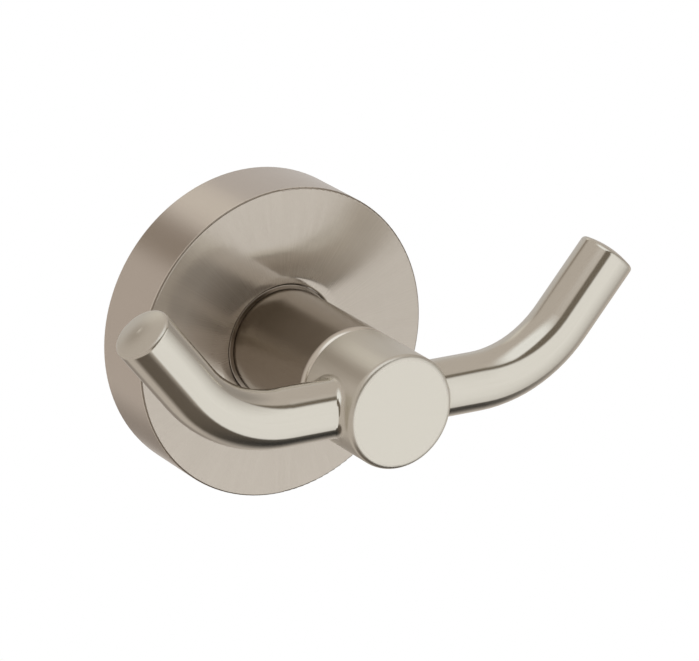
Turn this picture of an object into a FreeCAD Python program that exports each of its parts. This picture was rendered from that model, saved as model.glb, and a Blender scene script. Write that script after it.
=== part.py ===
# Double robe hook: a round escutcheon, a turned post, and a round head with two upturned rod arms.
#
# Frame of the finished part: the origin is the centre of the wall face, +X runs right, +Z runs up and the
# room lies towards -Y. Each piece is drawn in a wall frame, x right, y up and z straight out of the wall,
# and one placement stands it up. All lengths are in millimetres and all angles in degrees.
import FreeCAD, Part
import math
import os
import Sketcher
from FreeCAD import Placement, Rotation, Vector

# Driving dimensions: the name of each size, its value and what it is.
SIZES = [
    ("escutcheon_diameter", 54.0, "outside of the round cup"),
    ("escutcheon_depth", 12.6, "wall face to front face"),
    ("escutcheon_wall", 2.0, "thickness of the cup's side"),
    ("escutcheon_front", 3.0, "thickness of the cup's front"),
    ("escutcheon_edge_round", 0.35, "round on the front rim"),
    ("escutcheon_corner_round", 1.0, "fillet inside the cup"),
    ("post_diameter", 19.4, "outside of the post and of the head"),
    ("post_reach", 23.1, "front face of the cup to the parting ring"),
    ("post_front_round", 1.4, "soft round at the parting ring"),
    ("post_rear_chamfer", 0.3, "chamfer at the foot"),
    ("foot_flange", 0.42, "how far the post's foot stands out from its side"),
    ("foot_flange_drop", 0.3, "front of that foot below the cup's face"),
    ("foot_flange_round", 0.15, "round on that foot's front edge"),
    ("seat_depth", 1.8, "recess in the cup that takes the post's foot"),
    ("seat_clearance", 0.55, "radius of the recess beyond the post's side"),
    ("seat_lip_round", 0.3, "round on the recess's mouth"),
    ("seat_ease", 1.0, "how far round the recess the face slopes down to it"),
    ("seat_ease_angle", 9.0, "steepness of that slope"),
    ("seat_ease_round", 8.0, "soft blend from the flat face into that slope"),
    ("spigot_diameter", 11.0, "centring spigot on the post"),
    ("spigot_length", 1.6, "how far the spigot enters the head"),
    ("spigot_clearance", 0.05, "radial gap round the spigot"),
    ("spigot_relief", 0.3, "socket depth beyond the spigot's end"),
    ("head_length", 14.3, "parting ring to the head's front face"),
    ("head_front_round", 1.0, "round on the head's front edge"),
    ("head_rear_round", 0.3, "round on the head's rear edge"),
    ("arm_diameter", 9.75, "rod of the arms"),
    ("arm_straight", 18.55, "axis of the head to the start of the bend"),
    ("arm_bend_radius", 21.4, "radius of the bend along the rod's centre"),
    ("arm_bend_angle", 50.3, "how far the arm turns up"),
    ("arm_tail", 13.85, "straight end after the bend"),
    ("arm_tip_dome", 0.8, "height of the domed end"),
    ("arm_tip_round", 0.7, "round on the rim of the domed end"),
    ("arm_root_fillet", 1.2, "fillet where an arm leaves the head"),
    ("clamp_diameter", 5.0, "thread of the clamp screw"),
    ("clamp_clearance", 0.3, "radial gap round the screw in cup and post"),
    ("clamp_engagement", 7.5, "length of thread in the head"),
    ("clamp_point_chamfer", 0.6, "chamfer on the screw's end"),
    ("clamp_head_diameter", 9.2, "head of the clamp screw"),
    ("clamp_head_height", 3.2, "height of that head"),
    ("clamp_head_round", 1.2, "round on that head"),
    ("clamp_drive", 3.0, "hexagon across flats"),
    ("clamp_drive_depth", 1.7, "depth of the hexagon socket"),
    ("tap_relief", 2.0, "tapped hole beyond the screw's end"),
    ("thread_clearance", 0.05, "radial gap between a screw and its thread"),
    ("washer_diameter", 10.6, "washer under the clamp screw"),
    ("washer_thickness", 1.0, "thickness of the washer"),
    ("washer_clearance", 0.2, "radial gap between washer and screw"),
    ("bracket_clearance", 3.0, "radial gap between the wall bracket's front rim and the cup's side"),
    ("bracket_thickness", 4.5, "thickness of the wall bracket"),
    ("undercut_angle", 45.0, "slope of the bracket's rim and of the set screw's point"),
    ("slot_spacing", 23.0, "centre to centre of the two slots"),
    ("slot_length", 8.0, "end to end of one slot"),
    ("slot_width", 4.6, "width of one slot"),
    ("set_screw_diameter", 4.0, "thread of the set screw"),
    ("set_screw_height", 3.6, "wall face to the set screw's axis"),
    ("set_screw_recess", 0.8, "set screw's end below the cup's surface"),
    ("set_screw_drive", 2.0, "hexagon across flats"),
    ("set_screw_drive_depth", 1.8, "depth of the hexagon socket"),
    ("boss_width", 9.0, "width of the set screw's boss"),
    ("boss_clearance", 0.8, "gap between the boss and the bracket's rim"),
]

# Sizes that follow from the driving ones, as expressions.
CUP_RADIUS = "sizes.escutcheon_diameter / 2"
CUP_INNER_RADIUS = f"({CUP_RADIUS} - sizes.escutcheon_wall)"
CUP_FLOOR = "(sizes.escutcheon_depth - sizes.escutcheon_front)"
POST_RADIUS = "sizes.post_diameter / 2"
POST_FOOT = "(sizes.escutcheon_depth - sizes.seat_depth)"
FOOT_RADIUS = f"({POST_RADIUS} + sizes.foot_flange)"
FOOT_FRONT = "(sizes.escutcheon_depth - sizes.foot_flange_drop)"
SEAT_RADIUS = f"({POST_RADIUS} + sizes.seat_clearance)"
EASE_RADIUS = f"({SEAT_RADIUS} + sizes.seat_ease)"
SEAT_MOUTH = "(sizes.escutcheon_depth - sizes.seat_ease * tan(sizes.seat_ease_angle * 1deg))"
PARTING = "(sizes.escutcheon_depth + sizes.post_reach)"
SPIGOT_RADIUS = "sizes.spigot_diameter / 2"
SPIGOT_END = f"({PARTING} + sizes.spigot_length)"
HEAD_FRONT = f"({PARTING} + sizes.head_length)"
ARM_RADIUS = "sizes.arm_diameter / 2"
ARM_PROJECTION = f"({PARTING} + sizes.head_length / 2)"
ARM_TURN_COS = "cos(sizes.arm_bend_angle * 1deg)"
ARM_TURN_SIN = "sin(sizes.arm_bend_angle * 1deg)"
TAIL_START_ACROSS = f"(sizes.arm_straight + sizes.arm_bend_radius * {ARM_TURN_SIN})"
TAIL_START_UP = f"(sizes.arm_bend_radius * (1 - {ARM_TURN_COS}))"
CLAMP_RADIUS = "sizes.clamp_diameter / 2"
CLAMP_HOLE_RADIUS = f"({CLAMP_RADIUS} + sizes.clamp_clearance)"
CLAMP_SEAT = f"({CUP_FLOOR} - sizes.washer_thickness)"
CLAMP_HEAD_RADIUS = "sizes.clamp_head_diameter / 2"
CLAMP_HEAD_END = f"({CLAMP_SEAT} - sizes.clamp_head_height)"
CLAMP_END = f"({SPIGOT_END} + sizes.spigot_relief + sizes.clamp_engagement)"
TAP_RADIUS = f"({CLAMP_RADIUS} + sizes.thread_clearance)"
BRACKET_RADIUS = f"({CUP_INNER_RADIUS} - sizes.bracket_clearance)"
BRACKET_REAR_RADIUS = f"({BRACKET_RADIUS} - sizes.bracket_thickness * tan(sizes.undercut_angle * 1deg))"
SET_SCREW_RADIUS = "sizes.set_screw_diameter / 2"
SET_SCREW_POINT = f"({SET_SCREW_RADIUS} * tan(sizes.undercut_angle * 1deg))"
SET_SCREW_REACH = f"({BRACKET_REAR_RADIUS} + sizes.set_screw_height * tan(sizes.undercut_angle * 1deg))"
SET_SCREW_LENGTH = f"({CUP_RADIUS} - sizes.set_screw_recess - {SET_SCREW_REACH})"

OUT_OF_THE_WALL = Placement(Vector(0, 0, 0), Rotation(Vector(1, 0, 0), 90))
DOWN_FROM_ABOVE = Rotation(Vector(1, 0, 0), 180)
STRAIGHT_UP = math.radians(90)
STRAIGHT_DOWN = math.radians(-90)
SAME_PLACE = 1e-4

doc = FreeCAD.newDocument("double_robe_hook")


def add_sizes():
    """The spreadsheet of driving dimensions, one row each."""
    sheet = doc.addObject("Spreadsheet::Sheet", "sizes")
    for row, (alias, value, meaning) in enumerate(SIZES, start=1):
        sheet.set(f"A{row}", alias)
        sheet.set(f"B{row}", str(value))
        sheet.set(f"C{row}", meaning)
        sheet.setAlias(f"B{row}", alias)
    doc.recompute()
    return sheet


def value(expression):
    """An expression's present value as a plain number."""
    result = sheet.evalExpression(expression)
    return float(getattr(result, "Value", result))


def new_body(label, placement=OUT_OF_THE_WALL):
    body = doc.addObject("PartDesign::Body", label)
    body.Label = label
    body.Placement = placement
    return body


def origin_plane(body, role):
    return next(feature for feature in body.Origin.OriginFeatures if feature.Role == role)


def new_sketch(body, name, role, height="0"):
    """A sketch on one of the body's own planes, raised along that plane's normal."""
    sketch = body.newObject("Sketcher::SketchObject", name)
    sketch.AttachmentSupport = [(origin_plane(body, role), "")]
    sketch.MapMode = "FlatFace"
    sketch.setExpression("AttachmentOffset.Base.z", height)
    return sketch


def hold_point(sketch, geometry, end, across, along):
    """Ties one point of a sketch to its two coordinates, each an expression."""
    for kind, axis, expression in (("DistanceX", -2, across), ("DistanceY", -1, along)):
        if expression == "0":
            sketch.addConstraint(Sketcher.Constraint("PointOnObject", geometry, end, axis))
            continue
        index = sketch.addConstraint(Sketcher.Constraint(kind, -1, 1, geometry, end, value(expression)))
        sketch.setExpression(f"Constraints[{index}]", expression)


def add_outline(sketch, corners):
    """A closed outline of straight sides; each corner is a pair of expressions."""
    points = [Vector(value(across), value(along), 0) for across, along in corners]
    count = len(points)
    sides = [sketch.addGeometry(Part.LineSegment(points[i], points[(i + 1) % count])) for i in range(count)]
    for i in range(count):
        sketch.addConstraint(Sketcher.Constraint("Coincident", sides[i], 2, sides[(i + 1) % count], 1))
    for side, (across, along) in zip(sides, corners):
        hold_point(sketch, side, 1, across, along)


def add_circle(sketch, across, along, radius):
    middle = Vector(value(across), value(along), 0)
    circle = sketch.addGeometry(Part.Circle(middle, Vector(0, 0, 1), value(radius)))
    hold_point(sketch, circle, 3, across, along)
    index = sketch.addConstraint(Sketcher.Constraint("Radius", circle, value(radius)))
    sketch.setExpression(f"Constraints[{index}]", radius)


def add_hexagon(sketch, across_flats):
    """A hexagon about the sketch's origin, two of its sides upright."""
    half = f"({across_flats} / 2)"
    tall = f"({across_flats} / sqrt(3))"
    short = f"({across_flats} / sqrt(12))"
    add_outline(sketch, [
        (half, short), ("0", tall), (f"-{half}", short),
        (f"-{half}", f"-{short}"), ("0", f"-{tall}"), (half, f"-{short}"),
    ])


def turned(body, name, corners, kind="PartDesign::Revolution"):
    """A lathe profile, radius against distance from the wall, turned about the body's z axis."""
    sketch = new_sketch(body, f"{name}_profile", "XZ_Plane")
    add_outline(sketch, corners)
    feature = body.newObject(kind, name)
    feature.Profile = sketch
    feature.ReferenceAxis = (sketch, ["V_Axis"])
    feature.Angle = 360
    doc.recompute()
    return feature


def pocketed(body, name, sketch, depth, backwards=False):
    """A pocket that must take material away."""
    before = body.Shape.Volume
    pocket = body.newObject("PartDesign::Pocket", name)
    pocket.Profile = sketch
    pocket.Reversed = backwards
    pocket.setExpression("Length", depth)
    doc.recompute()
    if body.Shape.Volume >= before:
        raise RuntimeError(f"{name} cut nothing")


def drawn_edges(body):
    """The name of each edge and the edge, without the point at which a dome closes."""
    for number, edge in enumerate(body.Tip.Shape.Edges, start=1):
        if not edge.Degenerated:
            yield f"Edge{number}", edge


def ring_edges(body, radius, height):
    """The names of the full or part circles of that radius, about the z axis at that height."""
    wanted = []
    for name, edge in drawn_edges(body):
        curve = edge.Curve
        if not isinstance(curve, Part.Circle) or abs(abs(curve.Axis.z) - 1) > SAME_PLACE:
            continue
        offset = (curve.Center - Vector(0, 0, value(height))).Length
        if offset < SAME_PLACE and abs(curve.Radius - value(radius)) < SAME_PLACE:
            wanted.append(name)
    return wanted


def rounded(body, name, edges, size, kind="PartDesign::Fillet"):
    """A fillet or chamfer on the named edges of the body as it stands."""
    if not edges:
        raise RuntimeError(f"{name} found no edge")
    base = body.Tip
    feature = body.newObject(kind, name)
    feature.Base = (base, edges)
    feature.setExpression("Radius" if kind.endswith("Fillet") else "Size", size)
    doc.recompute()


def round_ring(body, name, radius, height, size):
    rounded(body, name, ring_edges(body, radius, height), size)


def chamfer_ring(body, name, radius, height, size):
    rounded(body, name, ring_edges(body, radius, height), size, "PartDesign::Chamfer")


def make_escutcheon():
    """The cast cup: a seat for the post in front, and a boss for the set screw at the bottom."""
    body = new_body("escutcheon")
    turned(body, "cup", [
        (CUP_INNER_RADIUS, "0"), (CUP_RADIUS, "0"), (CUP_RADIUS, "sizes.escutcheon_depth"),
        (EASE_RADIUS, "sizes.escutcheon_depth"), (SEAT_RADIUS, SEAT_MOUTH), (SEAT_RADIUS, POST_FOOT),
        (CLAMP_HOLE_RADIUS, POST_FOOT), (CLAMP_HOLE_RADIUS, CUP_FLOOR), (CUP_INNER_RADIUS, CUP_FLOOR),
    ])
    round_ring(body, "inner_corner", CUP_INNER_RADIUS, CUP_FLOOR, "sizes.escutcheon_corner_round")
    round_ring(body, "front_rim", CUP_RADIUS, "sizes.escutcheon_depth", "sizes.escutcheon_edge_round")
    round_ring(body, "seat_ease", EASE_RADIUS, "sizes.escutcheon_depth", "sizes.seat_ease_round")
    round_ring(body, "seat_lip", SEAT_RADIUS, SEAT_MOUTH, "sizes.seat_lip_round")

    boss_half = "sizes.boss_width / 2"
    boss_foot = f"-({CUP_RADIUS} - sizes.escutcheon_wall / 2)"
    boss_face = f"-({BRACKET_RADIUS} + sizes.boss_clearance)"
    sketch = new_sketch(body, "boss_outline", "XY_Plane")
    add_outline(sketch, [
        (f"-{boss_half}", boss_foot), (boss_half, boss_foot),
        (boss_half, boss_face), (f"-{boss_half}", boss_face),
    ])
    boss = body.newObject("PartDesign::Pad", "boss")
    boss.Profile = sketch
    boss.setExpression("Length", f"{CUP_FLOOR} + sizes.escutcheon_front / 2")
    doc.recompute()

    sketch = new_sketch(body, "set_screw_circle", "XZ_Plane")
    add_circle(sketch, "0", "sizes.set_screw_height", f"({SET_SCREW_RADIUS} + sizes.thread_clearance)")
    pocketed(body, "set_screw_hole", sketch, "sizes.escutcheon_diameter", backwards=True)
    return body


def make_post():
    """The turned post: a flanged foot, a bore for the clamp screw and a spigot that centres the head."""
    body = new_body("post")
    turned(body, "stem", [
        (CLAMP_HOLE_RADIUS, POST_FOOT), (FOOT_RADIUS, POST_FOOT), (FOOT_RADIUS, FOOT_FRONT),
        (POST_RADIUS, FOOT_FRONT), (POST_RADIUS, PARTING), (SPIGOT_RADIUS, PARTING),
        (SPIGOT_RADIUS, SPIGOT_END), (CLAMP_HOLE_RADIUS, SPIGOT_END),
    ])
    round_ring(body, "parting_round", POST_RADIUS, PARTING, "sizes.post_front_round")
    round_ring(body, "foot_round", FOOT_RADIUS, FOOT_FRONT, "sizes.foot_flange_round")
    chamfer_ring(body, "foot_chamfer", FOOT_RADIUS, POST_FOOT, "sizes.post_rear_chamfer")
    return body


def arm_path(body):
    """The centre line of the right arm: out sideways, a bend upwards and a straight end."""
    sketch = new_sketch(body, "arm_path", "XY_Plane", ARM_PROJECTION)
    straight = value("sizes.arm_straight")
    radius = value("sizes.arm_bend_radius")
    turn = math.radians(value("sizes.arm_bend_angle"))
    outward = Vector(math.cos(turn), math.sin(turn), 0)
    bend_circle = Part.Circle(Vector(straight, radius, 0), Vector(0, 0, 1), radius)
    bend = Part.ArcOfCircle(bend_circle, STRAIGHT_DOWN, STRAIGHT_DOWN + turn)
    run = sketch.addGeometry(Part.LineSegment(Vector(0, 0, 0), Vector(straight, 0, 0)))
    arc = sketch.addGeometry(bend)
    tip = bend.EndPoint + outward * value("sizes.arm_tail")
    tail = sketch.addGeometry(Part.LineSegment(bend.EndPoint, tip))
    sketch.addConstraint(Sketcher.Constraint("Coincident", run, 1, -1, 1))
    sketch.addConstraint(Sketcher.Constraint("Horizontal", run))
    sketch.addConstraint(Sketcher.Constraint("Tangent", run, 2, arc, 1))
    sketch.addConstraint(Sketcher.Constraint("Tangent", arc, 2, tail, 1))
    for kind, geometry, size in (("Distance", run, "arm_straight"), ("Radius", arc, "arm_bend_radius"),
                                 ("Distance", tail, "arm_tail")):
        index = sketch.addConstraint(Sketcher.Constraint(kind, geometry, value(f"sizes.{size}")))
        sketch.setExpression(f"Constraints[{index}]", f"sizes.{size}")
    slope = sketch.addConstraint(Sketcher.Constraint("Angle", run, 1, tail, 1, turn))
    sketch.setExpression(f"Constraints[{slope}]", "sizes.arm_bend_angle * 1deg")
    return sketch


def tail_point(along, aside="0"):
    """A point beside the arm's straight end, measured along it and to its upper side, as two expressions."""
    across = f"{TAIL_START_ACROSS} + ({along}) * {ARM_TURN_COS} - ({aside}) * {ARM_TURN_SIN}"
    up = f"{TAIL_START_UP} + ({along}) * {ARM_TURN_SIN} + ({aside}) * {ARM_TURN_COS}"
    return across, up


def dome_outline(body):
    """Half of the arm's domed end: a spoke, the axis and an arc that is centred on the axis."""
    sketch = new_sketch(body, "dome_outline", "XY_Plane", ARM_PROJECTION)
    places = [
        tail_point("sizes.arm_tail"), tail_point("sizes.arm_tail", ARM_RADIUS),
        tail_point("sizes.arm_tail + sizes.arm_tip_dome"),
    ]
    foot, rim, top = (Vector(value(across), value(up), 0) for across, up in places)
    rod = value(ARM_RADIUS)
    dome = value("sizes.arm_tip_dome")
    radius = (rod ** 2 + dome ** 2) / (2 * dome)
    outward = (top - foot).normalize()
    middle = top - outward * radius
    start = math.atan2(outward.y, outward.x)
    sweep = math.asin(rod / radius)
    spoke = sketch.addGeometry(Part.LineSegment(foot, rim))
    axis = sketch.addGeometry(Part.LineSegment(foot, top))
    circle = Part.Circle(middle, Vector(0, 0, 1), radius)
    arc = sketch.addGeometry(Part.ArcOfCircle(circle, start, start + sweep))
    sketch.addConstraint(Sketcher.Constraint("Coincident", spoke, 1, axis, 1))
    sketch.addConstraint(Sketcher.Constraint("Coincident", arc, 1, axis, 2))
    sketch.addConstraint(Sketcher.Constraint("Coincident", arc, 2, spoke, 2))
    sketch.addConstraint(Sketcher.Constraint("PointOnObject", arc, 3, axis))
    for geometry, end, place in ((spoke, 1, places[0]), (spoke, 2, places[1]), (axis, 2, places[2])):
        hold_point(sketch, geometry, end, *place)
    return sketch


def make_double_hook():
    """Head and arms, one casting: the rods blend into the head, which is tapped from behind."""
    body = new_body("double_hook")
    turned(body, "head", [
        ("0", PARTING), (POST_RADIUS, PARTING), (POST_RADIUS, HEAD_FRONT), ("0", HEAD_FRONT),
    ])
    path = arm_path(body)
    section = new_sketch(body, "arm_section", "YZ_Plane")
    add_circle(section, "0", ARM_PROJECTION, ARM_RADIUS)
    arm = body.newObject("PartDesign::AdditivePipe", "right_arm")
    arm.Profile = section
    arm.Spine = path
    doc.recompute()
    dome = body.newObject("PartDesign::Revolution", "right_dome")
    dome.Profile = dome_outline(body)
    dome.ReferenceAxis = (path, ["Edge3"])
    dome.Angle = 360
    doc.recompute()
    mirror = body.newObject("PartDesign::Mirrored", "left_arm")
    mirror.Originals = [arm, dome]
    mirror.MirrorPlane = (origin_plane(body, "YZ_Plane"), [""])
    body.Tip = mirror
    doc.recompute()
    rounded(body, "arm_roots", root_edges(body), "sizes.arm_root_fillet")
    rounded(body, "arm_tips", tip_edges(body), "sizes.arm_tip_round")
    round_ring(body, "front_edge", POST_RADIUS, HEAD_FRONT, "sizes.head_front_round")
    round_ring(body, "rear_edge", POST_RADIUS, PARTING, "sizes.head_rear_round")

    socket_radius = f"({SPIGOT_RADIUS} + sizes.spigot_clearance)"
    socket_end = f"({SPIGOT_END} + sizes.spigot_relief)"
    tap_end = f"({CLAMP_END} + sizes.tap_relief)"
    before = body.Shape.Volume
    turned(body, "tapped_socket", [
        ("0", PARTING), (socket_radius, PARTING), (socket_radius, socket_end), (TAP_RADIUS, socket_end),
        (TAP_RADIUS, tap_end), ("0", tap_end),
    ], "PartDesign::Groove")
    if body.Shape.Volume >= before:
        raise RuntimeError("the tapped socket cut nothing")
    return body


def root_edges(body):
    """Where the arms run into the head: edges on its round side, all at the post's radius."""
    radius = value(POST_RADIUS)
    wanted = []
    for name, edge in drawn_edges(body):
        places = [edge.valueAt(t) for t in edge.ParameterRange]
        places.append(edge.valueAt(sum(edge.ParameterRange) / 2))
        on_side = all(abs(Vector(p.x, p.y, 0).Length - radius) < SAME_PLACE for p in places)
        level = max(p.z for p in places) - min(p.z for p in places)
        if on_side and not isinstance(edge.Curve, (Part.Line, Part.Circle)) and level > SAME_PLACE:
            wanted.append(name)
    return wanted


def tip_edges(body):
    """The rims of the two arm ends: circles of the rod's radius at the far end of each arm."""
    reach = value(TAIL_START_ACROSS)
    wanted = []
    for name, edge in drawn_edges(body):
        if not isinstance(edge.Curve, Part.Circle) or abs(edge.Curve.Center.x) < reach + SAME_PLACE:
            continue
        if abs(edge.Curve.Radius - value(ARM_RADIUS)) < SAME_PLACE:
            wanted.append(name)
    return wanted


def make_clamp_screw():
    """The long screw that clamps cup, post and head together."""
    body = new_body("clamp_screw")
    turned(body, "shank", [
        ("0", CLAMP_HEAD_END), (CLAMP_HEAD_RADIUS, CLAMP_HEAD_END), (CLAMP_HEAD_RADIUS, CLAMP_SEAT),
        (CLAMP_RADIUS, CLAMP_SEAT), (CLAMP_RADIUS, CLAMP_END), ("0", CLAMP_END),
    ])
    round_ring(body, "head_round", CLAMP_HEAD_RADIUS, CLAMP_HEAD_END, "sizes.clamp_head_round")
    chamfer_ring(body, "point", CLAMP_RADIUS, CLAMP_END, "sizes.clamp_point_chamfer")
    sketch = new_sketch(body, "drive_outline", "XY_Plane", CLAMP_HEAD_END)
    add_hexagon(sketch, "sizes.clamp_drive")
    pocketed(body, "drive", sketch, "sizes.clamp_drive_depth", backwards=True)
    return body


def make_clamp_washer():
    body = new_body("clamp_washer")
    inner = f"({CLAMP_RADIUS} + sizes.washer_clearance)"
    outer = "sizes.washer_diameter / 2"
    turned(body, "ring", [(inner, CLAMP_SEAT), (outer, CLAMP_SEAT), (outer, CUP_FLOOR), (inner, CUP_FLOOR)])
    return body


def make_wall_bracket():
    """The plate on the wall: its rim is undercut for the set screw, and two slots take the wall screws."""
    body = new_body("wall_bracket")
    turned(body, "plate", [
        ("0", "0"), (BRACKET_REAR_RADIUS, "0"), (BRACKET_RADIUS, "sizes.bracket_thickness"),
        ("0", "sizes.bracket_thickness"),
    ])
    for name, side in (("right_slot", 1), ("left_slot", -1)):
        sketch = new_sketch(body, f"{name}_outline", "XY_Plane")
        add_slot(sketch, side)
        pocketed(body, name, sketch, "sizes.bracket_thickness", backwards=True)
    return body


def add_slot(sketch, side):
    """One round-ended slot along x, on one side of the plate's middle."""
    radius = value("sizes.slot_width / 2")
    run = value("(sizes.slot_length - sizes.slot_width) / 2")
    middle = side * value("sizes.slot_spacing / 2")
    up = Vector(0, radius, 0)
    near = Vector(middle - run, 0, 0)
    far = Vector(middle + run, 0, 0)
    near_circle = Part.Circle(near, Vector(0, 0, 1), radius)
    far_circle = Part.Circle(far, Vector(0, 0, 1), radius)
    left = sketch.addGeometry(Part.ArcOfCircle(near_circle, STRAIGHT_UP, STRAIGHT_UP + math.pi))
    right = sketch.addGeometry(Part.ArcOfCircle(far_circle, STRAIGHT_DOWN, STRAIGHT_UP))
    top = sketch.addGeometry(Part.LineSegment(far + up, near + up))
    bottom = sketch.addGeometry(Part.LineSegment(near - up, far - up))
    for first, second in (((right, 2), (top, 1)), ((top, 2), (left, 1)), ((left, 2), (bottom, 1)),
                          ((bottom, 2), (right, 1))):
        sketch.addConstraint(Sketcher.Constraint("Tangent", *first, *second))
    slot_middle = f"{side} * sizes.slot_spacing / 2"
    slot_run = "(sizes.slot_length - sizes.slot_width) / 2"
    hold_point(sketch, left, 3, f"{slot_middle} - {slot_run}", "0")
    hold_point(sketch, right, 3, f"{slot_middle} + {slot_run}", "0")
    index = sketch.addConstraint(Sketcher.Constraint("Radius", left, radius))
    sketch.setExpression(f"Constraints[{index}]", "sizes.slot_width / 2")


def make_set_screw():
    """The grub screw under the cup: drawn from its point upwards, then turned to hang point inwards."""
    body = new_body("set_screw", Placement(Vector(0, 0, 0), DOWN_FROM_ABOVE))
    body.setExpression("Placement.Base.y", "-sizes.set_screw_height")
    body.setExpression("Placement.Base.z", f"-{SET_SCREW_REACH}")
    turned(body, "grub", [
        ("0", "0"), (SET_SCREW_RADIUS, SET_SCREW_POINT), (SET_SCREW_RADIUS, SET_SCREW_LENGTH),
        ("0", SET_SCREW_LENGTH),
    ])
    sketch = new_sketch(body, "drive_outline", "XY_Plane", SET_SCREW_LENGTH)
    add_hexagon(sketch, "sizes.set_screw_drive")
    pocketed(body, "drive", sketch, "sizes.set_screw_drive_depth")
    return body


def check(bodies):
    """Stops if any object failed to compute or any piece is not one sound solid."""
    for item in doc.Objects:
        if "Invalid" in item.State or "Error" in item.State:
            raise RuntimeError(f"{item.Label} failed: {item.State}")
    for body in bodies:
        shape = body.Shape
        if shape.isNull() or not shape.isValid() or len(shape.Solids) != 1:
            raise RuntimeError(f"{body.Label} is not one valid solid")


sheet = add_sizes()
bodies = [
    make_escutcheon(), make_post(), make_double_hook(), make_clamp_screw(), make_clamp_washer(),
    make_wall_bracket(), make_set_screw(),
]
doc.recompute()
check(bodies)
os.makedirs("parts", exist_ok=True)
for body in bodies:
    body.Shape.exportStep(f"parts/{body.Label}.step")
    box = body.Shape.BoundBox
    print(f"{body.Label}: {body.Shape.Volume:.1f} mm3, x {box.XMin:.2f} to {box.XMax:.2f},"
          f" y {box.YMin:.2f} to {box.YMax:.2f}, z {box.ZMin:.2f} to {box.ZMax:.2f}")
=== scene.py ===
# %% [markdown]
# # Double robe hook in satin nickel
#
# The part is a wall hook for a bathroom: a round escutcheon that hides the fixing, a turned post, and a
# round head with two rod arms that bend upwards. Its solids come from a CAD model and already have the
# right shape, so this lesson is about finish: brushed nickel plate, zinc plate and plain stainless steel,
# and about the studio that metal needs around it, because metal shows little but its surroundings.

# %% Load the solids
import math
import bmesh
import bpy
from mathutils import Matrix, Vector

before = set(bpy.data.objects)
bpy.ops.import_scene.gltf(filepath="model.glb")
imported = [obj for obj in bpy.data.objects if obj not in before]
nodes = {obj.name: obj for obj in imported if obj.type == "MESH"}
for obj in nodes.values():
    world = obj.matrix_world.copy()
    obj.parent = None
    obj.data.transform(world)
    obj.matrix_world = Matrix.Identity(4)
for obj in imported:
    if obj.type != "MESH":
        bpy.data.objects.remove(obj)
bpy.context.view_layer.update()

MM = 1000.0

print("solids:", ", ".join(sorted(nodes)))

# %% [markdown]
# ## The camera
#
# The view is from the left and a little above, with a long lens, so the arms keep almost the same thickness
# near and far. The camera could be aimed with a constraint, but three angles say more: from looking
# straight at the wall it turns right by the yaw, down by the pitch, and tilts a little about its own line.

# %% The camera
CAMERA_PLACE = Vector((-0.359177, -0.608440, 0.248824))
YAW = math.radians(31.994)
PITCH = math.radians(19.494)
TILT = math.radians(1.658)
SENSOR_MM = 36.0
LENS_MM = 228.1
NEAREST = 0.01

lens = bpy.data.cameras.new("camera")
lens.sensor_width = SENSOR_MM
lens.lens = LENS_MM
lens.clip_start = NEAREST
camera = bpy.data.objects.new("camera", lens)
bpy.context.scene.collection.objects.link(camera)
upright = Matrix.Rotation(math.radians(90) - PITCH, 4, "X")
turned = Matrix.Rotation(-YAW, 4, "Z") @ upright @ Matrix.Rotation(TILT, 4, "Z")
camera.matrix_world = Matrix.Translation(CAMERA_PLACE) @ turned
bpy.context.scene.camera = camera
bpy.context.scene.view_settings.view_transform = "Standard"
print("camera at", [round(c, 3) for c in CAMERA_PLACE], "m with a lens of", LENS_MM, "mm")

# %% [markdown]
# ## Helpers for materials
#
# Colours are written as sRGB hex, the way a paint program shows them, but shaders count light linearly, so
# one function converts them. One starts a material. One feeds a node: each input takes either a plain value
# or the output of another node. The last adds a node, whose settings are its own properties, feeds it and
# hands back one of its outputs.

# %% Helpers
def linear(code):
    """An sRGB hex colour as the linear red, green, blue and alpha that a shader takes."""
    channels = [int(code[i:i + 2], 16) / 255 for i in (1, 3, 5)]
    lit = [c / 12.92 if c <= 0.04045 else ((c + 0.055) / 1.055) ** 2.4 for c in channels]
    return (*lit, 1.0)


def new_material(name):
    """A material with its main shader in place, and the node tree to build in."""
    material = bpy.data.materials.new(name)
    material.use_nodes = True
    return material, material.node_tree


def feed(tree, node, inputs):
    """Gives a node its inputs, a list or a dict of plain values and of other nodes' outputs."""
    for socket, source in inputs.items() if isinstance(inputs, dict) else enumerate(inputs):
        if isinstance(source, bpy.types.NodeSocket):
            tree.links.new(source, node.inputs[socket])
        else:
            node.inputs[socket].default_value = source


def add(tree, kind, inputs=(), output=0, **settings):
    """Adds one node with its settings and inputs, and returns one of its outputs."""
    node = tree.nodes.new("ShaderNode" + kind)
    for name, setting in settings.items():
        setattr(node, name, setting)
    feed(tree, node, inputs)
    return node.outputs[output]


print("a mid grey in linear light:", [round(c, 3) for c in linear("#808080")[:3]])

# %% [markdown]
# ## Where a point lies on a turned piece
#
# Every pattern starts from Object coordinates. A CAD piece sits at the origin with its place in its mesh,
# so these are the point's x, y and z in the room: x to the right, y into the wall, z up, here turned to
# millimetres. The turned pieces share one axis, the y axis. A brush mark needs only the direction round
# that axis, the distance from it and the depth along it.

# %% Coordinates
AXIS = (0, 1, 0)


def place_in_mm(tree):
    """The point's place as a vector in millimetres."""
    metres = add(tree, "TexCoord", output="Object")
    return add(tree, "VectorMath", {0: metres, "Scale": MM}, operation="SCALE")


def round_the_axis(tree, place):
    """The direction from the post's axis to a point, its distance from the axis, and its depth along it."""
    flat = add(tree, "VectorMath", [place, (1, 0, 1)], operation="MULTIPLY")
    outwards = add(tree, "VectorMath", [flat], operation="NORMALIZE")
    distance = add(tree, "VectorMath", [flat], "Value", operation="LENGTH")
    depth = add(tree, "SeparateXYZ", [place], "Y")
    return outwards, distance, depth


print("patterns count in mm,", MM, "to the metre")

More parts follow.
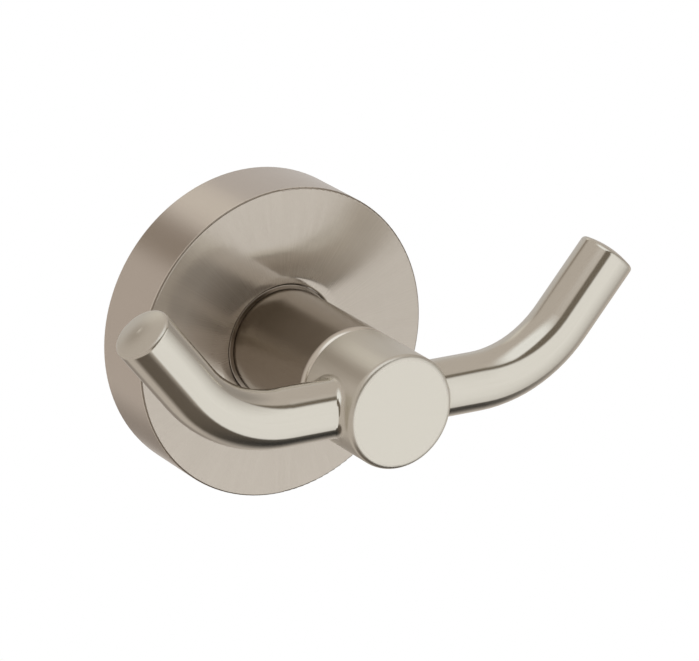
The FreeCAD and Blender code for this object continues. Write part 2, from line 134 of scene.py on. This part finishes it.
# %% [markdown]
# ## Brush marks
#
# Satin nickel is bright nickel plate that has been rubbed with a fine abrasive. Each grain leaves a scratch
# far longer than wide, so a noise that is stretched along the stroke stands for them. It could be drawn as
# geometry, but a scratch is a few microns deep, so it belongs in the shader: it changes the roughness,
# tilts the surface and darkens the metal, each by very little. Real scratches are about 0.05 mm wide. That
# is too fine to show here, so the marks are drawn 0.22 mm wide, as bundles of them. Each begins at a place
# of its own, or their ends would line up in rings.

# %% Brush marks
MARK_WIDTH = 0.22
MARK_LENGTH = 9.0
START_SHIFT = (0.37, 0.29, 0.41)


def marks(tree, crosswise, along):
    """A noise from 0 to 1: crosswise is a vector in mm, and along is the way along the stroke in mm."""
    fine = add(tree, "VectorMath", {0: crosswise, "Scale": 1 / MARK_WIDTH}, operation="SCALE")
    own_start = add(tree, "VectorMath", [fine, START_SHIFT], "Value", operation="DOT_PRODUCT")
    stroke = add(tree, "Math", [along, 1 / MARK_LENGTH, own_start], operation="MULTIPLY_ADD")
    settings = {"Vector": fine, "W": stroke, "Scale": 1.0, "Detail": 3.0, "Roughness": 0.65}
    return add(tree, "TexNoise", settings, noise_dimensions="4D")


def turned_strokes(tree, place, rim):
    """Strokes that run out from the axis over a face, then on along the side; rim is the piece's radius."""
    outwards, distance, depth = round_the_axis(tree, place)
    crosswise = add(tree, "VectorMath", {0: outwards, "Scale": rim}, operation="SCALE")
    return crosswise, add(tree, "Math", [distance, depth], operation="ADD")


print("marks are", MARK_WIDTH, "mm wide and about", MARK_LENGTH, "mm long")

# %% [markdown]
# ## Satin nickel
#
# Nickel is a pale, slightly yellow metal. Between the scratches it is smooth, with a roughness of 0.1 to
# 0.2, so the escutcheon mirrors the post and an arm. The scratches themselves scatter light as widely as a
# matt surface, under a thin clear lacquer. Both are finer than a pixel, and the eye gets them together: a
# soft haze over a clear reflection. Two shaders could be mixed for that, but the share of haze can also be
# given as the part that isn't metallic, which any viewer of the model understands. A slow cloud of a
# centimetre or so varies the roughness, because the wheel is soft and held by hand. Most of a noise lies
# between 0.3 and 0.7, so that span is stretched to the range wanted.

# %% Satin nickel
CLOUD_SIZE = 11.0
NOISE_SPAN = (0.3, 0.7)
GRAIN_SPREAD = 0.015
CLOUD_SPREAD = 0.012
MARK_RELIEF = 0.04
RELIEF_DEPTH = 0.00002


def satin_nickel(name, bright, dull, roughness, clear, strokes):
    """Brushed plate: clear is the share that mirrors, strokes gives the ways across and along the marks."""
    material, tree = new_material(name)
    place = place_in_mm(tree)
    bundle = marks(tree, *strokes(tree, place))
    cloud = add(tree, "TexNoise", {"Vector": place, "Scale": 1 / CLOUD_SIZE, "Detail": 2.0})
    colour = add(tree, "Mix", {0: bundle, 6: linear(bright), 7: linear(dull)}, 2, data_type="RGBA")
    grain = add(tree, "MapRange", [bundle, *NOISE_SPAN, roughness - GRAIN_SPREAD, roughness + GRAIN_SPREAD])
    uneven = add(tree, "MapRange", [cloud, *NOISE_SPAN, -CLOUD_SPREAD, CLOUD_SPREAD])
    spread = add(tree, "Math", [grain, uneven], operation="ADD")
    relief = add(tree, "Bump", {"Height": bundle, "Strength": MARK_RELIEF, "Distance": RELIEF_DEPTH})
    feed(tree, tree.nodes["Principled BSDF"], {
        "Base Color": colour, "Metallic": clear, "Roughness": spread, "Normal": relief})
    return material, bundle, colour, spread


def dress(node, material):
    """Gives one CAD solid its finish, in the slot it already has."""
    nodes[node].material_slots[0].material = material
    print(f"{node}: {material.name}, {len(nodes[node].data.polygons)} faces")


print("clouds in the brushing are about", CLOUD_SIZE, "mm wide")

# %% [markdown]
# ## The zones of the escutcheon
#
# The escutcheon is a shallow cup, turned and then brushed out from the middle and on over the side. The
# wheel bears hardest towards the rim. It passes the side only once, and the small round between face and
# side is too tight for it. Nor does it reach inside the cup. Three zones carry painted light: painted shade
# on the face round the post, a painted highlight along the front edge of the side, and a painted dark line
# on the small round. Each zone could be a material of its own, but brushing fades from one to the next, so
# one material tells them apart by place: by the distance from the axis and the depth along it. A zone is a
# number, 1 in it and 0 outside.

# %% The zones of the escutcheon
ESCUTCHEON_RIM = 27.0
ESCUTCHEON_FACE = -12.6
RIM_ROUND = 0.3
ROUND_INSIDE = ESCUTCHEON_RIM - RIM_ROUND
ROUND_BACK = ESCUTCHEON_FACE + RIM_ROUND
ROUND_FADE = 0.1
SIDE_FROM = ESCUTCHEON_RIM - 0.05
EDGE_FADE = (ROUND_BACK + 0.25, ROUND_BACK + 0.1)
WALL_INSIDE = ESCUTCHEON_RIM - 1.0
BEHIND_FRONT = -10.5
# Painted shade on the face round the post fades out between the next two distances from the axis.
SEAT_EDGE = 13.5
SHADE_END_WORN_FROM = 20.5
SEAT_CLEAR = 0.76

cup, bundle, colour, spread = satin_nickel(
    "satin_nickel_escutcheon_brushed", bright="#E3DCD2", dull="#D1CABF", roughness=0.085, clear=SEAT_CLEAR,
    strokes=lambda tree, place: turned_strokes(tree, place, ESCUTCHEON_RIM))
tree = cup.node_tree
outwards, distance, depth = round_the_axis(tree, place_in_mm(tree))
within = add(tree, "Math", [distance, WALL_INSIDE], operation="LESS_THAN")
behind = add(tree, "Math", [depth, BEHIND_FRONT], operation="GREATER_THAN")
on_side = add(tree, "MapRange", [distance, ROUND_INSIDE, SIDE_FROM, 0.0, 1.0])
at_edge = add(tree, "MapRange", [depth, *EDGE_FADE, 0.0, 1.0])
in_front = add(tree, "MapRange", [depth, ROUND_BACK, ROUND_BACK - ROUND_FADE, 0.0, 1.0])
out_at_rim = add(tree, "MapRange", [distance, ROUND_INSIDE, ROUND_INSIDE + ROUND_FADE, 0.0, 1.0])
zones = {
    # Painted shade on the face round the post, fading out from the seat.
    "shade_near_seat": add(tree, "MapRange", [distance, SEAT_EDGE, SHADE_END_WORN_FROM, 1.0, 0.0]),
    "side": on_side,
    "inside": add(tree, "Math", [within, behind], operation="MULTIPLY"),
    # A painted highlight along the front edge of the side.
    "front_edge": add(tree, "Math", [at_edge, on_side], operation="MULTIPLY"),
    # A painted dark line on the small round, a painted reflection of the dark cloths in front.
    "round": add(tree, "Math", [in_front, out_at_rim], operation="MULTIPLY"),
}
print("zones of the escutcheon:", ", ".join(zones))

# %% [markdown]
# ## The finish of the escutcheon
#
# Towards the seat the face is darker, painted shade round the post that fades outwards. From the seat
# outwards the haze grows from stroke to stroke, and the mirror blurs. The side stays clearer, with a painted
# highlight along its front edge and beside it, on the round, a fine painted dark line. Inside the cup the
# plate is as it left the bath, dull and greyer. Each zone lays its tone over the ones before it, some of them
# thinly. Strokes that all run one way blur a reflection mostly across themselves. The shader calls that
# anisotropic, and its tangent, the way of the wider blur, runs round the axis.

# %% The finish of the escutcheon
ZONE_TONES = {
    # Painted shade on the face round the post.
    "shade_near_seat": (0.35, "#BDB5A9"),
    "side": (0.6, "#D2CAC1"),
    "inside": (1.0, "#A39C92"),
    # A painted highlight along the front edge of the side.
    "front_edge": (0.6, "#F4F0E8"),
    # A painted dark line on the small round.
    "round": (1.0, "#A0978B"),
}
ZONE_ROUGHNESS = {"inside": 0.38, "round": 0.4}
ZONE_CLEAR = {"side": 0.78, "round": 0.85}
WORN_CLEAR = 0.54
STROKE_HAZE = 0.1
RIM_BLUR = 0.06
BRUSHED_ONE_WAY = 0.7

for zone, (share, tone) in ZONE_TONES.items():
    cover = add(tree, "Math", [zones[zone], share], operation="MULTIPLY")
    colour = add(tree, "Mix", {0: cover, 6: colour, 7: linear(tone)}, 2, data_type="RGBA")

blur = add(tree, "MapRange", [distance, SEAT_EDGE, ESCUTCHEON_RIM, 0.0, RIM_BLUR])
spread = add(tree, "Math", [spread, blur], operation="ADD")
for zone, roughness in ZONE_ROUGHNESS.items():
    spread = add(tree, "Mix", {0: zones[zone], 2: spread, 3: roughness})

clear = add(tree, "MapRange", [distance, SEAT_EDGE, SHADE_END_WORN_FROM, SEAT_CLEAR, WORN_CLEAR])
haze = add(tree, "MapRange", [bundle, *NOISE_SPAN, 0.0, STROKE_HAZE])
clear = add(tree, "Math", [clear, haze], operation="SUBTRACT")
for zone, share in ZONE_CLEAR.items():
    clear = add(tree, "Mix", {0: zones[zone], 2: clear, 3: share})

across = add(tree, "VectorMath", [outwards, AXIS], operation="CROSS_PRODUCT")
feed(tree, tree.nodes["Principled BSDF"], {
    "Base Color": colour, "Roughness": spread, "Metallic": clear,
    "Anisotropic": BRUSHED_ONE_WAY, "Tangent": across})
dress("escutcheon", cup)

# %% [markdown]
# ## The post
#
# The post is turned from bar and brushed along its length, finely, so it has no haze, and the dark cloths of
# the studio melt into each other round it, across the strokes. Its colour is a little darker than the rest:
# painted shade on the post between escutcheon and head. The round at its front end, where the head begins,
# has a paler colour, a painted highlight that shows as a pale ring.

# %% The post
POST_RIM = 9.7
# From here to the front end the post's colour is paler: a painted highlight, the pale ring.
BRIGHT_FROM = -34.2
BRIGHT_FADE = 0.5
RING_HIGHLIGHT_COLOUR = "#E6E1D7"

# The post's darker colours are painted shade.
stem, _, colour, _ = satin_nickel(
    "satin_nickel_post_brushed", bright="#AFA69B", dull="#9B9287", roughness=0.18, clear=1.0,
    strokes=lambda tree, place: turned_strokes(tree, place, POST_RIM))
tree = stem.node_tree
outwards, _, depth = round_the_axis(tree, place_in_mm(tree))
# A painted highlight on the post's front round.
highlight_or_rubbed = add(tree, "MapRange", [depth, BRIGHT_FROM, BRIGHT_FROM - BRIGHT_FADE, 0.0, 1.0])
colour = add(tree, "Mix", {0: highlight_or_rubbed, 6: colour, 7: linear(RING_HIGHLIGHT_COLOUR)}, 2, data_type="RGBA")
across = add(tree, "VectorMath", [outwards, AXIS], operation="CROSS_PRODUCT")
feed(tree, tree.nodes["Principled BSDF"], {
    "Base Color": colour, "Anisotropic": BRUSHED_ONE_WAY, "Tangent": across})
dress("post", stem)

# %% [markdown]
# ## An arm laid out straight
#
# Head and arms are one casting. The head is brushed as a turned piece, and an arm along its length, so the
# marks have to follow the bend. A UV map could lead them, but a solid from CAD has none, and the bend is a
# plain arc. So the arm is unrolled: a point is turned back about the bend's centre by the angle that it lies
# round the bend, which lays the whole arm out straight. Both arms are the same, so the point's distance to
# the side stands for x.

# %% An arm laid out straight
ARM_STRAIGHT = 18.55
ARM_BEND = 21.4
ARM_TURN = math.radians(50.3)
ARM_TAIL = 13.85
ARM_LENGTH = ARM_STRAIGHT + ARM_BEND * ARM_TURN + ARM_TAIL
ARM_FROM = POST_RIM + 0.4


def arm_strokes(tree, place):
    """Strokes along an arm, from the place of a point once the arm is laid out straight."""
    x, depth, height = (add(tree, "SeparateXYZ", [place], axis) for axis in "XYZ")
    sideways = add(tree, "Math", [x], operation="ABSOLUTE")
    past = add(tree, "Math", [sideways, ARM_STRAIGHT], operation="SUBTRACT")
    under = add(tree, "Math", [ARM_BEND, height], operation="SUBTRACT")
    angle = add(tree, "Math", [past, under], operation="ARCTAN2")
    turn = add(tree, "Clamp", [angle, 0.0, ARM_TURN])
    folded = add(tree, "CombineXYZ", [sideways, depth, height])
    straight = add(tree, "VectorRotate", {
        "Vector": folded, "Center": (ARM_STRAIGHT, 0, ARM_BEND), "Axis": AXIS, "Angle": turn})
    reach = add(tree, "SeparateXYZ", [straight], "X")
    along = add(tree, "Math", [turn, ARM_BEND, reach], operation="MULTIPLY_ADD")
    crosswise = add(tree, "VectorMath", [straight, (0, 1, 1)], operation="MULTIPLY")
    return crosswise, along


def hook_strokes(tree, place):
    """An arm's strokes outside the head's radius, and a turned piece's within it."""
    _, distance, _ = round_the_axis(tree, place)
    on_arm = add(tree, "Math", [distance, ARM_FROM], operation="GREATER_THAN")
    head_crosswise, head_along = turned_strokes(tree, place, POST_RIM)
    arm_crosswise, arm_along = arm_strokes(tree, place)
    crosswise = add(tree, "Mix", {0: on_arm, 4: head_crosswise, 5: arm_crosswise}, 1, data_type="VECTOR")
    along = add(tree, "Mix", {0: on_arm, 2: head_along, 3: arm_along})
    return crosswise, along


print("an arm is", round(ARM_LENGTH, 1), "mm long, from the axis to its sawn end")

# %% [markdown]
# ## The head and its arms
#
# The head's side and the rods' sawn ends are rubbed by hand at the last, which leaves them duller: they keep
# the colour and only blur the mirror. The backs of the arms, which face the wall, are given a darker colour,
# most of all near the head: painted shade. These zones are told apart by place too, on the head by the
# distance from the axis and on an arm by the way along it.

# %% The head and its arms
HEAD_EDGE = (POST_RIM - 1.1, POST_RIM - 0.8)
ARM_ROOT = (POST_RIM + 0.1, POST_RIM + 0.5)
SAWN_FROM = ARM_LENGTH - 0.2
ARM_DEPTH = -42.85
BACK_FROM = (ARM_DEPTH + 1.0, ARM_DEPTH + 4.0)
BACK_FADE = (ARM_STRAIGHT - 4.0, ARM_LENGTH - 10.0)
# The darker colour of the arms' backs is painted shade.
BACK_SHADE_COLOUR = "#A39C91"
HAND_ROUGHNESS = 0.3

hook, _, colour, spread = satin_nickel(
    "satin_nickel_hook_brushed", bright="#E2DFD5", dull="#DAD7CD", roughness=0.09, clear=0.92,
    strokes=hook_strokes)
tree = hook.node_tree
place = place_in_mm(tree)
_, distance, depth = round_the_axis(tree, place)
_, along = arm_strokes(tree, place)
sawn_end = add(tree, "Math", [along, SAWN_FROM], operation="GREATER_THAN")
out_at_edge = add(tree, "MapRange", [distance, *HEAD_EDGE, 0.0, 1.0])
on_arm = add(tree, "MapRange", [distance, *ARM_ROOT, 0.0, 1.0])
head_side = add(tree, "Math", [out_at_edge, on_arm], operation="SUBTRACT")
highlight_or_rubbed = add(tree, "Math", [sawn_end, head_side], operation="MAXIMUM")
spread = add(tree, "Mix", {0: highlight_or_rubbed, 2: spread, 3: HAND_ROUGHNESS})
# Painted shade on the backs of the arms, strongest near the head.
to_wall = add(tree, "MapRange", [depth, *BACK_FROM, 0.0, 1.0])
near_head = add(tree, "MapRange", [along, *BACK_FADE, 1.0, 0.0])
arm_back_shade = add(tree, "Math", [to_wall, on_arm], operation="MULTIPLY")
arm_back_shade = add(tree, "Math", [arm_back_shade, near_head], operation="MULTIPLY")
colour = add(tree, "Mix", {0: arm_back_shade, 6: colour, 7: linear(BACK_SHADE_COLOUR)}, 2, data_type="RGBA")
feed(tree, tree.nodes["Principled BSDF"], {"Base Color": colour, "Roughness": spread})
dress("double_hook", hook)

# %% [markdown]
# ## Zinc plate
#
# The bracket, the screw and its washer are steel with a bright zinc plate, passivated to a faint blue. It
# is hidden behind the escutcheon, but the part is also looked at from behind. Zinc plate is smooth and
# cloudy, without marks: a slow noise of a few millimetres shifts its colour between blue and straw and its
# roughness with it, and a fine one gives the tiny pits of the steel under it.

# %% Zinc plate
ZINC_CLOUD = 5.0
ZINC_BLUE = "#BFC6CC"
ZINC_STRAW = "#CBC9BE"
TINT_SPAN = (0.35, 0.65)
ZINC_ROUGHNESS = (0.24, 0.36)
STEEL_PIT = 0.35
PIT_RELIEF = 0.08

zinc, tree = new_material("bright_zinc_plate")
place = place_in_mm(tree)
cloud = add(tree, "TexNoise", {"Vector": place, "Scale": 1 / ZINC_CLOUD, "Detail": 4.0, "Distortion": 0.6})
pits = add(tree, "TexNoise", {"Vector": place, "Scale": 1 / STEEL_PIT, "Detail": 2.0})
tint = add(tree, "MapRange", [cloud, *TINT_SPAN, 0.0, 1.0])
colour = add(tree, "Mix", {0: tint, 6: linear(ZINC_BLUE), 7: linear(ZINC_STRAW)}, 2, data_type="RGBA")
spread = add(tree, "MapRange", [cloud, *NOISE_SPAN, *ZINC_ROUGHNESS])
relief = add(tree, "Bump", {"Height": pits, "Strength": PIT_RELIEF, "Distance": RELIEF_DEPTH})
feed(tree, tree.nodes["Principled BSDF"], {
    "Base Color": colour, "Metallic": 1.0, "Roughness": spread, "Normal": relief})
for node in ("wall_bracket", "clamp_screw", "clamp_washer"):
    dress(node, zinc)

# %% [markdown]
# ## Stainless steel
#
# The set screw is turned from plain stainless bar. The tool leaves fine rings round its axis, which stands
# upright, so height alone makes them: a noise that is stretched flat, with rings drawn 0.15 mm apart
# because real ones, a third of that, wouldn't show.

# %% Stainless steel
RING_PITCH = 0.15
RING_STRETCH = 5.0
RING_LIGHT = "#C4C3BF"
RING_DARK = "#AFAEAA"
RING_ROUGHNESS = (0.2, 0.3)
RING_RELIEF = 0.1

stainless, tree = new_material("turned_stainless_steel")
place = place_in_mm(tree)
flattened = (1 / RING_STRETCH, 1 / RING_STRETCH, 1 / RING_PITCH)
rings_place = add(tree, "VectorMath", [place, flattened], operation="MULTIPLY")
rings = add(tree, "TexNoise", {"Vector": rings_place, "Scale": 1.0, "Detail": 2.0})
colour = add(tree, "Mix", {0: rings, 6: linear(RING_LIGHT), 7: linear(RING_DARK)}, 2, data_type="RGBA")
spread = add(tree, "MapRange", [rings, *NOISE_SPAN, *RING_ROUGHNESS])
relief = add(tree, "Bump", {"Height": rings, "Strength": RING_RELIEF, "Distance": RELIEF_DEPTH})
feed(tree, tree.nodes["Principled BSDF"], {
    "Base Color": colour, "Metallic": 1.0, "Roughness": spread, "Normal": relief})
dress("set_screw", stainless)

# %% [markdown]
# ## Helpers for the studio
#
# Polished metal has no look of its own, so a photographer builds one around it. The background is a plain
# white world. What the metal mirrors in front of that are stage pieces that glow by themselves. The camera
# looks through them. Directions from the hook are given as on a map: an azimuth, and an elevation.

# %% Helpers for the studio
WHITE = "#FFFFFF"


def towards(azimuth, elevation):
    """The direction from the hook, with azimuth 0 straight out into the room and 90 to its right."""
    a = math.radians(azimuth)
    e = math.radians(elevation)
    return Vector((math.sin(a) * math.cos(e), -math.cos(a) * math.cos(e), math.sin(e)))


def covered(tree, direction, azimuth, elevation, radius, softness):
    """How far a round patch of that radius and softness, in degrees, covers a direction: 0 to 1."""
    middle = towards(azimuth, elevation)
    facing = add(tree, "VectorMath", [direction, middle], "Value", operation="DOT_PRODUCT")
    angle = add(tree, "Math", [facing], operation="ARCCOSINE")
    inner = math.radians(radius - softness)
    outer = math.radians(radius + softness)
    return add(tree, "MapRange", [angle, inner, outer, 1.0, 0.0], interpolation_type="SMOOTHSTEP")


def glowing_stage(name, shape):
    """Adds a stage piece that the camera doesn't see and that shades nothing; returns its node tree."""
    mesh = bpy.data.meshes.new(name)
    shape.to_mesh(mesh)
    shape.free()
    piece = bpy.data.objects.new(name, mesh)
    bpy.context.scene.collection.objects.link(piece)
    piece.visible_camera = False
    piece.visible_shadow = False
    material, tree = new_material(name + "_lit")
    mesh.materials.append(material)
    return tree


world = bpy.data.worlds.new("white_background")
bpy.context.scene.world = world
world.use_nodes = True
feed(world.node_tree, world.node_tree.nodes["Background"], {"Color": linear(WHITE)})
print("world:", world.name)

# %% [markdown]
# ## The light tent
#
# Round the hook hangs a tent of lit cloth, open at the top, where the metal shows the white behind it.
# Darker cloths are pinned to it: two in front that draw the thin line along each arm, some below for the
# band under the arms, and others at the sides. A small pale one high at the back lights the top of the
# escutcheon's side. The tent could be painted into the world, but then the camera would see it too. Here
# it is a sphere with a radius of one metre. Each cloth is a soft round patch in some direction from the
# hook, laid over the ones before it.

# %% The light tent
TENT_MIDDLE = Vector((0, -0.04, 0))
TENT_RADIUS = 1.0
TENT_CLOTH = "#C4BBB3"

# Azimuth, elevation, radius and softness in degrees, and for a cloth its colour.
OPENING = (-15, 68, 27, 11)
CLOTHS = {
    "rear_left": (-157, 30, 9, 6, "#8E8276"),
    "rear_right": (165, 6, 31, 11, "#CAC5C1"),
    "rear_top": (177, 38, 10, 6, "#E6E0D7"),
    "front": (4, 20, 36, 4, "#6C6255"),
    "front_right": (35, 12, 44, 4, "#6C6255"),
    "right": (102, 18, 22, 14, "#9E9791"),
    "rear_low": (174, -42, 15, 9, "#948B83"),
    "low": (-12, -72, 28, 9, "#5C5248"),
    "low_right": (82, -65, 23, 21, "#0C0B0A"),
}

ball = bmesh.new()
tent_place = Matrix.Translation(TENT_MIDDLE)
bmesh.ops.create_icosphere(ball, subdivisions=4, radius=TENT_RADIUS, matrix=tent_place)
tree = glowing_stage("light_tent", ball)
place = add(tree, "TexCoord", output="Object")
offset = add(tree, "VectorMath", [place, TENT_MIDDLE], operation="SUBTRACT")
direction = add(tree, "VectorMath", [offset], operation="NORMALIZE")
light = linear(TENT_CLOTH)
closed = add(tree, "Math", [1.0, covered(tree, direction, *OPENING)], operation="SUBTRACT")
for *patch, colour in CLOTHS.values():
    cover = covered(tree, direction, *patch)
    light = add(tree, "Mix", {0: cover, 6: light, 7: linear(colour)}, 2, data_type="RGBA")
    closed = add(tree, "Math", [closed, cover], operation="MAXIMUM")
cloth = add(tree, "Emission", {"Color": light})
nothing = add(tree, "BsdfTransparent")
shown = add(tree, "MixShader", [closed, nothing, cloth])
feed(tree, tree.nodes["Material Output"], {"Surface": shown})
print("tent with", len(CLOTHS), "cloths:", ", ".join(CLOTHS))

# %% [markdown]
# ## The white card
#
# The brightest thing the metal shows is a round white card, held close, a hand's length in front and to the
# right. Because it is so close, the arms, which stand out from the wall, see round its top edge less than
# the escutcheon does. A painted direction can't do that, so the card is a real disc. Its light fades towards
# its right-hand side, and its edge melts into the studio behind it.

# %% The white card
CARD_CENTRE = Vector((0.135, -0.153, -0.050))
CARD_TURN = math.radians(30)
CARD_RADIUS = 0.212
CARD_EDGE = 0.022
CARD_WHITE = "#F8F6F4"
CARD_DIM = "#B9B4AF"
CARD_FADE = (-0.05, 0.14)

disc = bmesh.new()
upright = Matrix.Rotation(CARD_TURN, 4, "Z") @ Matrix.Rotation(math.radians(90), 4, "X")
bmesh.ops.create_circle(disc, cap_ends=True, segments=96, radius=CARD_RADIUS + CARD_EDGE,
                        matrix=Matrix.Translation(CARD_CENTRE) @ upright)
tree = glowing_stage("white_card", disc)
place = add(tree, "TexCoord", output="Object")
offset = add(tree, "VectorMath", [place, CARD_CENTRE], operation="SUBTRACT")
reach = add(tree, "VectorMath", [offset], "Value", operation="LENGTH")
rightwards = Vector((math.cos(CARD_TURN), math.sin(CARD_TURN), 0))
aside = add(tree, "VectorMath", [offset, rightwards], "Value", operation="DOT_PRODUCT")
fade = add(tree, "MapRange", [aside, *CARD_FADE, 0.0, 1.0])
colour = add(tree, "Mix", {0: fade, 6: linear(CARD_WHITE), 7: linear(CARD_DIM)}, 2, data_type="RGBA")
edge = add(tree, "MapRange", [reach, CARD_RADIUS - CARD_EDGE, CARD_RADIUS + CARD_EDGE, 0.0, 1.0],
           interpolation_type="SMOOTHSTEP")
lit = add(tree, "Emission", {"Color": colour})
nothing = add(tree, "BsdfTransparent")
shown = add(tree, "MixShader", [edge, lit, nothing])
feed(tree, tree.nodes["Material Output"], {"Surface": shown})
print("white card, diameter", round(CARD_RADIUS * 2, 2), "m")

# %% [markdown]
# ## The floor
#
# The hook hangs at hand height, so the floor is a pale sheet of paper 1.2 m below it, well out of the
# picture. A filled circle is all it needs. The camera sees it as white, like the rest of the background, and
# so would a mirror or a glass. The hook's own metal doesn't show it, because the tent hides it.

# %% The floor
FLOOR_HEIGHT = -1.2
FLOOR_RADIUS = 0.6
PAPER_COLOUR = "#F2F1EE"
PAPER_ROUGHNESS = 0.9

sheet = bmesh.new()
floor_place = Matrix.Translation((0, 0, FLOOR_HEIGHT))
bmesh.ops.create_circle(sheet, cap_ends=True, segments=64, radius=FLOOR_RADIUS, matrix=floor_place)
floor_mesh = bpy.data.meshes.new("floor")
sheet.to_mesh(floor_mesh)
sheet.free()
floor = bpy.data.objects.new("floor", floor_mesh)
bpy.context.scene.collection.objects.link(floor)

paper, tree = new_material("matt_white_paper")
shader = tree.nodes["Principled BSDF"]
feed(tree, shader, {"Base Color": linear(PAPER_COLOUR), "Roughness": PAPER_ROUGHNESS})
white = add(tree, "Emission", {"Color": linear(WHITE)})
seen = add(tree, "LightPath", output="Is Camera Ray")
mirrored = add(tree, "LightPath", output="Is Glossy Ray")
passed = add(tree, "LightPath", output="Is Transmission Ray")
direct = add(tree, "Math", [seen, mirrored], operation="MAXIMUM")
direct = add(tree, "Math", [direct, passed], operation="MAXIMUM")
shown = add(tree, "MixShader", [direct, shader.outputs[0], white])
feed(tree, tree.nodes["Material Output"], {"Surface": shown})
floor_mesh.materials.append(paper)
print("floor at", round(floor_mesh.vertices[0].co.z, 2), "m")
